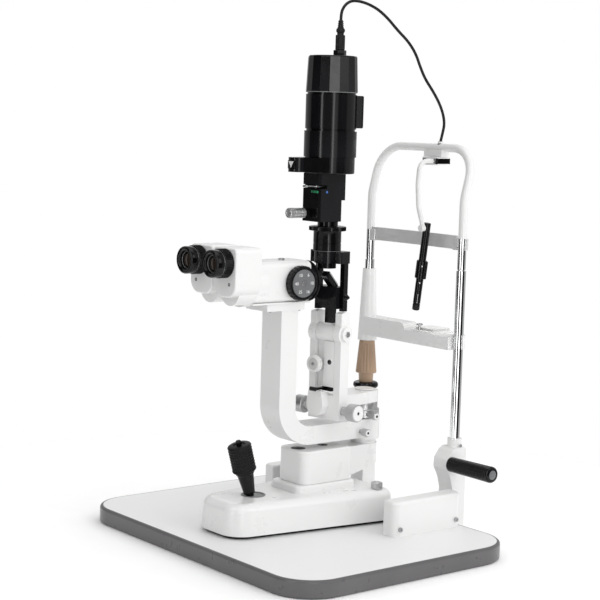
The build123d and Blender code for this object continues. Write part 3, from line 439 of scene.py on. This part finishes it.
# ------------------------------------------------------------------ eyepieces
for side, name in ((1, "right"), (-1, "left")):
    where = aim((side * EYE_X, EYE_FACE_Y, EYE_Z), (0, -1, 0))
    body = f"eye_{name}"
    profile = [(-10, 12.2), (-10, 14.9), (0, 14.9), (0, 20.4), (0.8, 21)]
    profile += fine(1.6, 13.2, 21, 0.5)
    profile += [
        (14, 21), (14.6, 20.3), (14.8, 19.3), (15.6, 19.3), (15.9, 19.9), (16.5, 20), (25.5, 20),
        (27.4, 19.4),
    ]
    profile += [
        (28.4, 18.2), (28.6, 17.2), (28.2, 15.8), (27.0, 13.8), (25.2, 12.8), (20, 12.3), (18.5, 12.0),
        (18.5, 0.5),
    ]
    piece = put(
        f"eyepiece_{name}_turned", turned(profile, 120, knurl(1.6, 13.2, 60, 0.7)), GLOSS, body, where,
    )
    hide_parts(f"eyepiece_{name}")
    dome = [(19.0, 12.1), (20.2, 12.0), (21.4, 10.4), (22.2, 7.6), (22.7, 4.0), (22.9, 0.3)]
    put(f"eyepiece_{name}_lens", turned(dome, 72), COATED, body, where)
    rim = turned([(21.6, 12.4), (22.8, 12.5), (23.2, 11.9), (22.6, 11.5), (21.6, 11.7)], 96)
    put(f"eyepiece_{name}_rim", rim, GREY, body, where)
    band = turned([(15.0, 19.4), (15.0, 19.75), (15.5, 19.75), (15.5, 19.4)], 96)
    put(f"eyepiece_{name}_line", band, STEEL, body, where)

# ------------------------------------------------------------------ magnification drum
where = aim((DRUM_X, DRUM_Y, DRUM_Z), (1, 0, 0))
profile = [(0.5, 20.8), (0.5, 25.4), (1.2, 26)] + fine(1.8, 9.6, 26, 0.8)
profile += [(10.8, 25.4), (11.5, 24.4), (11.5, 21.6), (10.6, 21.0), (10.6, 20.0)]


def scallops(height, angle):
    if height < 1.0 or height > 11.4:
        return 0.0
    return -1.3 * max(0.0, cos(angle * 24)) ** 2


drum = turned(profile, 288, scallops)
piece = put("magnification_drum_ring", drum, GLOSS, "drum", where)
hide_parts("magnification_drum")
core = turned([(-23, 7), (-23, 20.8), (0.3, 20.8), (0.6, 20.2), (0.6, 7)], 72)
put("magnification_drum_core", core, MATTE, "drum", where)
dial = turned(
    [(9.6, 20.9), (10.9, 20.9), (11.8, 20.2), (12.0, 19.4), (12.0, 4.6), (11.6, 4.1), (11.6, 0.2)], 96,
)
put("magnification_dial_face", dial, GREY, "drum", where)
hub = turned([(11.4, 3.8), (12.4, 3.8), (12.9, 3.2), (12.9, 1.2), (12.3, 1.0), (12.3, 0.1)], 48)
put("magnification_dial_screw", hub, STEEL, "drum", where)
DIAL_RADIUS = 0.0142  # of the ring of numbers
for k, number in enumerate(("6", "10", "16", "25", "40", "10")):
    text = bpy.data.curves.new(f"dial_number_{k}", "FONT")
    text.body = number
    text.size = 0.0066
    text.extrude = 0.0002
    text.align_x = "CENTER"
    text.align_y = "CENTER"
    text.materials.append(PALE_INK)
    obj = bpy.data.objects.new(f"dial_number_{k}", text)
    scene.collection.objects.link(obj)
    angle = radians(60 * k + 30)
    face = Matrix.Rotation(radians(90), 4, "Z") @ Matrix.Rotation(radians(90), 4, "X")
    spot = Vector((0.0423, DRUM_Y + DIAL_RADIUS * sin(angle), DRUM_Z + DIAL_RADIUS * cos(angle)))
    obj.matrix_world = Matrix.Translation(spot) @ face
    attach(obj, "drum")

# ------------------------------------------------------------------ microscope details
lens = turned([(8.6, 17.2), (9.6, 16.9), (11.2, 12.0), (12.0, 6.0), (12.2, 0.2)], 72)
put("objective_front_lens", lens, COATED, "microscope", aim((0, 0.0095, OPTIC_Z), (0, 1, 0)))
trim = turned([(0, 29.1), (0, 30.4), (0.8, 30.8), (2.2, 30.8), (3.0, 30.2), (3.0, 22.2), (0, 22.2)], 96)
put("objective_shade_rim", trim, MATTE, "microscope", aim((0, 0.0105, OPTIC_Z), (0, 1, 0)))
cap = turned([(0, 4.6), (1.9, 4.6), (2.6, 4.0), (2.6, 2.2), (1.4, 2.0), (1.4, 0.1)], 40)
put("microscope_top_screw", cap, STEEL, "microscope", Matrix.Translation((0, -0.038, 0.428)))
screws = bmesh.new()
for x, y in ((-22, -74), (-22, -20), (22, -74), (22, -20)):
    screw_head(screws, aim((x * 1.0, y * 1.0, 354.6), (0, 0, -1)), 2.4, 1.2)
put("microscope_foot_screws", screws, STEEL, "microscope")
plate = bevelled((-29.6, -111.6, 365.6), (29.6, -4.0, 368.2), 0.8)
put("microscope_foot_plate", plate, WHITE, "microscope")
for side, name in ((1, "right"), (-1, "left")):
    recess = turned([(-0.6, 2.4), (0.3, 2.4), (0.3, 1.3), (-0.4, 1.0)], 28)
    put(
        f"prism_box_screw_{name}", recess, MATTE, f"prism_{name}",
        aim((side * 0.041, -0.163, 0.4), (0, -1, 0)),
    )

# ------------------------------------------------------------------ lamp arm details
where = Matrix.Translation(PIVOT)
profile = [
    (176.6, 12.3), (176.6, 23.2), (177.2, 24), (188.8, 24), (189.5, 23.3), (189.5, 21.4), (190.1, 21.2),
]
profile += [(190.8, 21.2), (199.8, 21.2), (200.5, 20.8), (200.8, 20.2), (200.8, 12.3)]
drum = turned(profile, 144)
piece = put("scale_drum_turned", drum, SATIN, "microscope", where)
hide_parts("scale_drum")
marks = bmesh.new()
for k in range(-18, 19):
    long = k % 3 == 0
    made = bmesh.ops.create_cube(marks, size=1.0)["verts"]
    spin = Matrix.Rotation(radians(5.0 * k), 4, "Z")
    place = spin @ Matrix.Translation((0, -21.2, 197.0 if long else 198.0))
    bmesh.ops.transform(
        marks, matrix=place @ Matrix.Diagonal((0.28, 0.16, 6.0 if long else 4.0, 1)), verts=made,
    )
put("scale_drum_marks", marks, INK, "microscope", where)


def knob_profile(length, radius):
    edge = min(1.2, radius * 0.12)
    points = [(0, 0.4), (0, radius - edge), (edge, radius)]
    points += fine(edge + 0.3, length - edge - 0.3, radius, 0.8)
    points += [
        (length - edge, radius), (length, radius - edge), (length, radius * 0.62),
        (length - 0.8, radius * 0.56),
    ]
    return points + [(length - 0.8, radius * 0.22), (length - 2.0, radius * 0.2), (length - 2.0, 0.1)]


for name, body, at, length in (
    ("microscope_arm_knob", "microscope_lock", (0.029, 0.109, 0.158), 12.0),
    ("lamp_arm_knob", "lamp_lock", (0.029, 0.124, 0.183), 14.0),
):
    where = aim(at, (1, 0, 0))
    shape = turned(knob_profile(length, 6.0), 72, knurl(1.2, length - 1.2, 36, 0.35))
    turned([(-15, 0.2), (-15, 2.9), (0.2, 2.9), (0.2, 0.2)], 24, bm=shape)
    piece = put(f"{name}_turned", shape, SATIN, body, where)
    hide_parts(name)
    face = turned(
        [(length - 0.4, 2.1), (length + 0.25, 2.2), (length + 0.25, 4.9), (length - 0.4, 5.1)], 48,
    )
    put(f"{name}_face", face, WHITE, body, where)
    hole = turned([(length - 1.4, 0.1), (length - 1.4, 2.0), (length - 0.2, 2.0), (length - 0.2, 0.1)], 32)
    put(f"{name}_hole", hole, MATTE, body, where)

shaft = bmesh.new()
for side in (-1, 1):
    turned(
        [(0, 4), (0, 6.4), (0.5, 6.9), (13.0, 6.9), (13.0, 12.4), (13.8, 13.4)]
        + fine(14.4, 28.4, 13.5, 0.8)
        + [(29.2, 13.2), (29.6, 12.5), (29.0, 12.1), (29.0, 2.4), (27.0, 2.2), (27.0, 0.1)],
        160,
        knurl(14.6, 28.0, 44, 0.35),
        bm=shaft,
        at=aim((side * 31.0, FORK_Y, SHAFT_Z), (side, 0, 0)),
    )
turned([(-44, 0.2), (-44, 4.0), (44, 4.0), (44, 0.2)], 32, bm=shaft, at=aim((0, FORK_Y, SHAFT_Z), (1, 0, 0)))
piece = put("slit_width_knobs", shaft, SATIN, "slit_shaft", TOWER)
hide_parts("slit_width_shaft")
faces = bmesh.new()
holes = bmesh.new()
for side in (-1, 1):
    turned(
        [(0, 2.6), (0.9, 2.6), (0.9, 11.4), (0.5, 11.9), (0, 11.9)], 64, bm=faces,
        at=aim((side * 60.0, FORK_Y, SHAFT_Z), (side, 0, 0)),
    )
    turned(
        [(0, 0.1), (0, 2.3), (0.5, 2.3), (0.5, 0.1)], 32, bm=holes,
        at=aim((side * 60.0, FORK_Y, SHAFT_Z), (side, 0, 0)),
    )
put("slit_width_knob_faces", faces, WHITE, "slit_shaft", TOWER)
put("slit_width_knob_holes", holes, MATTE, "slit_shaft", TOWER)

clamp = TOWER @ aim((-0.013, 0.0316, 0.268), (0, -1, 0))
knob = turned(
    [(0, 2.4), (0, 12.2), (0.8, 13.0)] + fine(1.2, 7.0, 13.0, 0.6) + [
        (7.8, 12.7), (8.5, 11.6), (8.5, 9.6), (7.7, 9.2), (7.7, 0.1),
    ],
    120,
    knurl(1.2, 7.2, 36, 0.8),
)
turned([(-5, 0.2), (-5, 2.4), (0.1, 2.4), (0.1, 0.2)], 24, bm=knob)
piece = put("tilt_clamp_knob_turned", knob, WHITE, "tilt_knob", clamp)
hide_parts("tilt_clamp_knob")
disc = turned([(7.6, 9.1), (8.0, 9.0), (8.2, 8.6), (8.2, 3.2), (7.9, 3.0), (7.6, 2.8)], 64)
put("tilt_clamp_knob_face", disc, PALE, "tilt_knob", clamp)
pin = turned([(7.6, 2.7), (8.4, 2.6), (8.5, 2.2), (8.5, 1.1), (7.9, 1.0), (7.9, 0.1)], 32)
put("tilt_clamp_knob_screw", pin, STEEL, "tilt_knob", clamp)
hexes = bmesh.new()
turned(
    [(0, 2.2), (0, 4.6), (0.9, 4.6), (0.9, 2.4), (0.2, 2.2)], 6, bm=hexes,
    at=aim((35.4, FORK_Y, TILT_Z), (1, 0, 0)),
)
put("tilt_axis_hex", hexes, STEEL, "lamp_arm", TOWER)
roller = turned([(-15, 13.7), (-15, 14.0), (-14, 14.2), (14, 14.2), (15, 14.0), (15, 13.7)], 72)
put("tilt_roller_sleeve", roller, WHITE, "tower", TOWER @ aim((0, 0.046, 0.316), (1, 0, 0)))
strip = bevelled((-3.2, 36.4, 236.0), (17.4, 37.4, 303.0), 0.4)
put("tilt_lever_white_face", strip, WHITE, "tower", TOWER)
hole = turned([(-0.4, 0.1), (-0.4, 2.4), (0.5, 3.0), (0.5, 3.6), (0, 3.6)], 32)
put("tilt_lever_screw", hole, MATTE, "tower", TOWER @ aim((0.009, 0.0364, 0.272), (0, -1, 0)))

# ------------------------------------------------------------------ tower details
where = TOWER @ Matrix.Translation((0, 0.033, 0))
profile = [
    (441.2, 17.2), (441.2, 20.4), (441.8, 21), (452, 21), (452.4, 20.6), (453.2, 20.6), (453.6, 21),
    (470.6, 21),
]
profile += [(471.2, 21.4), (471.4, 27), (471.9, 28)] + fine(472.2, 477.2, 28, 0.5)
profile += [(477.6, 27.6), (478, 26.8), (478.1, 16), (478.4, 15.4), (484.8, 15.4), (485, 15), (485, 12.2)]
barrel = turned(profile, 200, knurl(472.2, 477.2, 100, 0.6))
piece = put("lens_barrel_turned", barrel, BLACK, "tower", where)
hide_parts("lens_barrel")
glass = turned([(446.8, 16.8), (448.2, 16.9), (451.6, 16.9), (453.2, 13), (454.4, 7), (454.8, 0.2)], 72)
put("projection_lens_glass", glass, GLASS, "tower", where)
line = turned([(441.0, 20.0), (441.0, 21.2), (441.5, 21.2), (441.5, 20.0)], 96)
put("lens_barrel_line", line, GREY, "tower", where)

# ------------------------------------------------------------------ slit head details
marks = bmesh.new()
for k in range(5):
    bevelled((14.0 + 3.2 * k, 3.86, 528.2), (15.6 + 3.2 * k, 4.2, 531.6), 0.08, marks, 1)
put("slit_head_marks", marks, GREEN, "lamp_head")
dot = turned([(0, 0.1), (0.0, 1.9), (0.5, 1.7), (0.7, 0.9), (0.75, 0.1)], 32)
put("slit_head_green_dot", dot, GREEN, "lamp_head", aim((0.0285, 0.0039, 0.5298), (0, -1, 0)))
dot = turned([(0, 0.1), (0.0, 2.0), (0.5, 1.8), (0.8, 0.9), (0.85, 0.1)], 32)
put("slit_head_blue_dot", dot, BLUE, "lamp_head", aim((0.0334, 0.018, 0.5298), (1, 0, 0)))
where = aim((0.009, -0.0054, 0.498), (0, -1, 0))
shape = turned(
    [(0, 0.2), (0, 6.8), (0.8, 7.6)] + fine(1.2, 27.6, 7.6, 0.8) + [
        (28.6, 7.5), (29.5, 6.8), (29.5, 4.2), (28.8, 3.8), (28.8, 0.1),
    ],
    96,
    lambda h, a: -0.35 if 8.0 <= h <= 8.9 or 20.0 <= h <= 20.9 else (knurl(21, 27.8, 48, 0.4)(h, a)),
)
turned([(-15, 0.2), (-15, 2.9), (0.2, 2.9), (0.2, 0.2)], 24, bm=shape)
piece = put("aperture_knob_turned", shape, SATIN, "aperture_wheel", where)
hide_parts("aperture_knob")
tab = bevelled((-2.6, 0.5, 535.4), (4.6, 4.4, 538.8), 0.5)
put("filter_lever_tab", tab, PALE_INK, "filter")
arrow = bmesh.new()
points = [(11.4, 574.6), (23.2, 574.6), (19.3, 569.4), (17.4, 565.2), (15.5, 569.4)]
front = [arrow.verts.new((x, -39.0, z)) for x, z in points]
rear = [arrow.verts.new((x, -38.3, z)) for x, z in points]
arrow.faces.new(front)
arrow.faces.new(rear[::-1])
for k in range(5):
    arrow.faces.new((front[k], front[k - 1], rear[k - 1], rear[k]))
put("aperture_window_mark", arrow, PALE_INK, "lamp_head")
pane = bevelled((9.3, -38.4, 563.8), (25.8, -37.6, 575.7), 0.2)
put("aperture_window_pane", pane, GLOSS, "lamp_head")

# ------------------------------------------------------------------ lamp details
axis = Matrix.Translation(LAMP_AXIS)
ring = turned([(676.6, 36.4), (676.6, 38.3), (677.4, 38.5), (677.9, 38.2), (677.9, 36.4)], 128)
put("lamp_cap_line", ring, GREY, "lamp_head", axis)
lens = turned([(583.2, 19.8), (584.2, 20.2), (587, 20.2), (590.5, 14), (592.2, 7), (592.8, 0.2)], 72)
put("condenser_glass", lens, GLASS, "lamp_head", axis)
socket = turned([(0, 6.1), (0, 9.4), (2, 9.8), (9, 9.8), (10, 9.2), (10, 6.1)], 48)
put("bulb_socket_ring", socket, BRASS, "lamp_head", axis @ Matrix.Translation((0, 0, 0.604)))
plug = Matrix.Translation(PLUG_AXIS)
relief = [
    (740.2, 0.3), (740.2, 6.6), (741, 7.2),
] + fine(741.4, 761.4, 7.2, 0.8) + [(762, 6.8), (762.4, 5.0), (765.2, 5.0)]
relief += [(766, 5.6), (767, 6.4), (769.4, 6.6), (771.4, 6.0), (772.2, 4.8)]
for k in range(4):
    z = 772.6 + 2.9 * k
    relief += [
        (z, 4.7 - 0.25 * k), (z + 1.7, 4.6 - 0.25 * k), (z + 1.9, 3.7 - 0.2 * k),
        (z + 2.6, 3.7 - 0.2 * k),
    ]
relief += [(784.0, 3.3), (784.0, 0.3)]
boot = turned(relief, 72, knurl(741.4, 761.4, 18, 0.35))
nut = bmesh.new()
turned([(731.1, 0.3), (731.1, 9.4), (731.8, 9.8), (739.2, 9.8), (739.9, 9.2), (740, 4)], 6, bm=nut)
turned([(722, 0.3), (722, 3.9), (731.2, 3.9), (731.2, 0.3)], 32, bm=nut)
piece = put("lamp_plug_nut", nut, GLOSS, "lamp_head", plug)
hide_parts("lamp_plug")
put("lamp_plug_strain_relief", boot, RUBBER, "lamp_head", plug)

# ------------------------------------------------------------------ lift head and base
for name, y, r in (("front", 4.0, 11.3), ("back", 52.0, 8.3)):
    cap = turned(
        [(138.0, 0.2), (138.0, r), (138.7, r), (139.0, r - 0.4), (139.0, 2.6), (138.4, 2.2), (138.4, 0.1)],
        64,
    )
    put(f"lift_cap_{name}", cap, MATTE, "lift", Matrix.Translation((0, y * MM, 0)))
knob = turned(
    [(0, 0.4), (0, 8.2), (0.8, 9.0)] + fine(1.2, 8.6, 9.0, 0.8) + [
        (9.2, 8.6), (10.1, 7.4), (10.1, 3.0), (9.3, 2.6), (9.3, 0.1),
    ],
    96,
    knurl(1.2, 8.8, 40, 0.5),
)
turned([(-13, 0.2), (-13, 3.9), (0.2, 3.9), (0.2, 0.2)], 24, bm=knob)
piece = put("base_lock_knob_turned", knob, SATIN, "base_lock", Matrix.Translation((0.068, 0.106, 0.0773)))
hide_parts("base_lock_knob")

# ------------------------------------------------------------------ head rest
for side, name in ((1, "right"), (-1, "left")):
    where = aim((side * 0.121, 0.211, 0.113), (side, 0, 0))
    profile = [(-12, 0.3), (-12, 4.9), (0, 4.9), (0, 10.6), (0.8, 11.4)]
    for k in range(26):
        s = 2.0 + 3.1 * k
        r = 11.5 + 1.0 * s / 90
        profile += [(s, r), (s + 2.3, r), (s + 2.5, r - 0.45), (s + 2.9, r - 0.45)]
    profile += [
        (84.6, 12.6), (87.2, 12.3), (89.2, 11.0), (89.9, 9.2), (89.9, 7.4), (89.2, 7.2), (89.2, 0.3),
    ]
    piece = put(f"hand_grip_{name}", turned(profile, 72), GLOSS, "table", where)
    if side > 0:
        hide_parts("hand_grips")
    cap = turned([(88.8, 0.1), (88.8, 7.1), (89.6, 7.1), (90.0, 6.5), (90.0, 0.1)], 48)
    put(f"hand_grip_cap_{name}", cap, GREY, "table", where)
    screws = bmesh.new()
    screw_head(screws, aim((side * 121.0, 230.0, 140.0), (side, 0, 0)), 2.6, 1.2)
    put(f"holder_screw_{name}", screws, STEEL, "table")
pin = turned(
    [
        (277.0, 0.2), (277.0, 2.0), (284.6, 2.0), (284.8, 4.8), (285.6, 5.4), (286.8, 5.2),
        (287.6, 4.0), (287.8, 0.2),
    ],
    32,
)
put("paper_pin", pin, SATIN, "chin", Matrix.Translation((0.026, 0.2225, 0.033)))
sheets = bmesh.new()
for k in range(7):
    bevelled(
        (13.0 + 0.2 * (k % 3), 226.0, 310.5 + 0.5 * k), (53.0 - 0.3 * (k % 2), 263.0, 310.9 + 0.5 * k),
        0.15, sheets, 1,
    )
put("chin_papers", sheets, PAPER, "chin")
profile = [
    (207.8, 8.2), (207.8, 11.1), (208.6, 11.5), (222.0, 12.3), (222.8, 12.6), (223.0, 16.6),
    (223.8, 17.1),
]
profile += [(224.4 + 0.9 * k, 17.2 - 0.079 * k) for k in range(57)]
profile += [(275.8, 12.4), (277.2, 12.1), (277.6, 11.2), (277.6, 8.2)]
flutes = turned(profile, 216, lambda h, a: -1.0 * max(0.0, cos(a * 18)) ** 2 if 224.6 < h < 272 else 0.0)
column = Matrix.Translation((-COLUMN_X, COLUMN_Y, 0))
piece = put("chin_height_knob_fluted", flutes, TAN, "chin_knob", column)
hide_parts("chin_height_knob")
profile = [
    (197.8, 8.2), (197.8, 17.4), (198.8, 19.4), (201.2, 20.6), (204.2, 20.6), (206.6, 19.4),
    (207.6, 17.4), (207.6, 8.2),
]
put("chin_knob_flange", turned(profile, 96), GLOSS, "chin_knob", column)
box = bevelled((4.0, 235.0, 570.6), (38.0, 265.0, 583.0), 2.0)
turned(
    [(582.8, 0.2), (582.8, 3.9), (587.0, 3.9), (587.0, 0.2)], 32, bm=box,
    at=Matrix.Translation((21, 250, 0)),
)
put("fixation_box", box, MATTE, "fixation")
FIX = Matrix.Translation((0.042, 0.215, 0.473)) @ Matrix.Rotation(radians(8), 4, "Y")
profile = [
    (-132, 0.1), (-132, 4.4), (-131.4, 5.3), (-130.6, 5.8), (-122, 5.8), (-121.6, 5.3), (-120.8, 5.3),
    (-120.4, 5.8),
]
profile += [
    (-102, 5.8), (-101.6, 5.4), (-101, 5.4), (-100.6, 5.8), (-80.4, 5.8), (-80.2, 7.8), (-79.4, 8.6),
    (-70, 8.6),
]
profile += [
    (-69.6, 8.2), (-69, 8.2), (-68.6, 8.6), (-53, 8.6), (-52.2, 7.8), (-52, 5.8), (-4, 5.8), (7.2, 5.8),
    (8, 5.0), (8, 0.1),
]
light = turned(profile, 72)
bevelled((0.0, -3.0, -80.0), (11.0, 3.0, -52.0), 0.9, light)
piece = put("fixation_light", light, GLOSS, "fixation_target", FIX)
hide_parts("fixation_rod")
toward = Vector((0.78, -0.62, 0))
dots = bmesh.new()
for z in (-87.0, -60.0):
    turned(
        [(-0.6, 0.1), (-0.6, 1.5), (0.35, 1.3), (0.5, 0.6), (0.5, 0.1)], 24, bm=dots,
        at=aim(toward * (5.8 if z < -80 else 8.6) + Vector((0, 0, z)), toward),
    )
put("fixation_light_dots", dots, STEEL, "fixation_target", FIX)
scale = bmesh.new()
for k in range(5):
    spot = aim(toward * 5.8 + Vector((0, 0, -106.0 - 3.2 * k)), toward)
    made = bmesh.ops.create_cube(scale, size=1.0)["verts"]
    bmesh.ops.transform(
        scale, matrix=spot @ Matrix.Diagonal((0.5, 3.4 if k % 2 else 2.0, 0.3, 1)), verts=made,
    )
put("fixation_light_marks", scale, PALE_INK, "fixation_target", FIX)

# ------------------------------------------------------------------ stage and light
floor_mesh = bpy.data.meshes.new("floor")
around = [2 * pi * k / 96 for k in range(96)]
rim = [(FLOOR_RADIUS * cos(a), FLOOR_RADIUS * sin(a), 0) for a in around]
floor_mesh.from_pydata(rim, [], [range(96)])
floor = bpy.data.objects.new("floor", floor_mesh)
floor_mesh.materials.append(surface("floor_paper", (0.99, 0.99, 0.99), (0.7, 0.8), vary=0.01, bump=0.01))
scene.collection.objects.link(floor)

world = bpy.data.worlds.new("studio")
scene.world = world
world.use_nodes = True
sky = world.node_tree
background = sky.nodes["Background"]
place = sky.nodes.new("ShaderNodeTexCoord")
split = sky.nodes.new("ShaderNodeSeparateXYZ")
sky.links.new(place.outputs["Generated"], split.inputs["Vector"])
turn = sky.nodes.new("ShaderNodeMath")
turn.operation = "ARCTAN2"
sky.links.new(split.outputs["Y"], turn.inputs[0])
sky.links.new(split.outputs["X"], turn.inputs[1])
around = remap(sky, turn.outputs[0], 0.0, 1.0, -pi, pi)
SOFT, DARK, STRIP, PANEL, REAR = [(v, v, v) for v in (0.2, 0.01, 6.0, 1.1, 0.45)]
studio = ramp(
    sky,
    around,
    [
        (0.0, REAR), (0.097, REAR), (0.107, DARK), (0.26, DARK), (0.266, STRIP), (0.278, STRIP),
        (0.284, SOFT), (0.40, SOFT),
    ]
    + [
        (0.411, PANEL), (0.415, STRIP), (0.429, STRIP), (0.433, PANEL), (0.47, PANEL), (0.48, DARK),
        (0.592, DARK),
    ]
    + [(0.602, REAR), (1.0, REAR)],
)
lean = sky.nodes.new("ShaderNodeMath")
lean.operation = "ADD"
sky.links.new(split.outputs["X"], lean.inputs[0])
sky.links.new(split.outputs["Y"], lean.inputs[1])
wash = ramp(
    sky, remap(sky, lean.outputs[0], 0.0, 1.0, -1.2, 1.2),
    [(0.0, (0.5, 0.5, 0.5)), (1.0, (1.36, 1.36, 1.36))],
)
seen = sky.nodes.new("ShaderNodeLightPath")
mirrored = blend_color(sky, seen.outputs["Is Glossy Ray"], wash, studio)
sky.links.new(
    blend_color(sky, seen.outputs["Is Camera Ray"], mirrored, (1.0, 1.0, 1.0)),
    background.inputs["Color"],
)
background.inputs["Strength"].default_value = 1.0


def area(name, at, target, size, power):
    light = bpy.data.lights.new(name, "AREA")
    light.shape = "RECTANGLE"
    light.size, light.size_y = size
    light.energy = power
    obj = bpy.data.objects.new(name, light)
    scene.collection.objects.link(obj)
    obj.location = at
    obj.rotation_euler = (Vector(target) - Vector(at)).to_track_quat("-Z", "Y").to_euler()


area("key", (0.2, -2.4, 2.2), (0, 0, 0.35), (1.6, 1.2), 4)
area("side", (2.6, 0.8, 1.7), (0, 0.1, 0.35), (1.2, 1.8), 12)
area("top", (0.0, 0.3, 3.0), (0, 0.1, 0.3), (1.8, 1.8), 9)
area("rim", (-2.2, 1.6, 1.6), (0, 0.1, 0.4), (1.0, 1.6), 4)
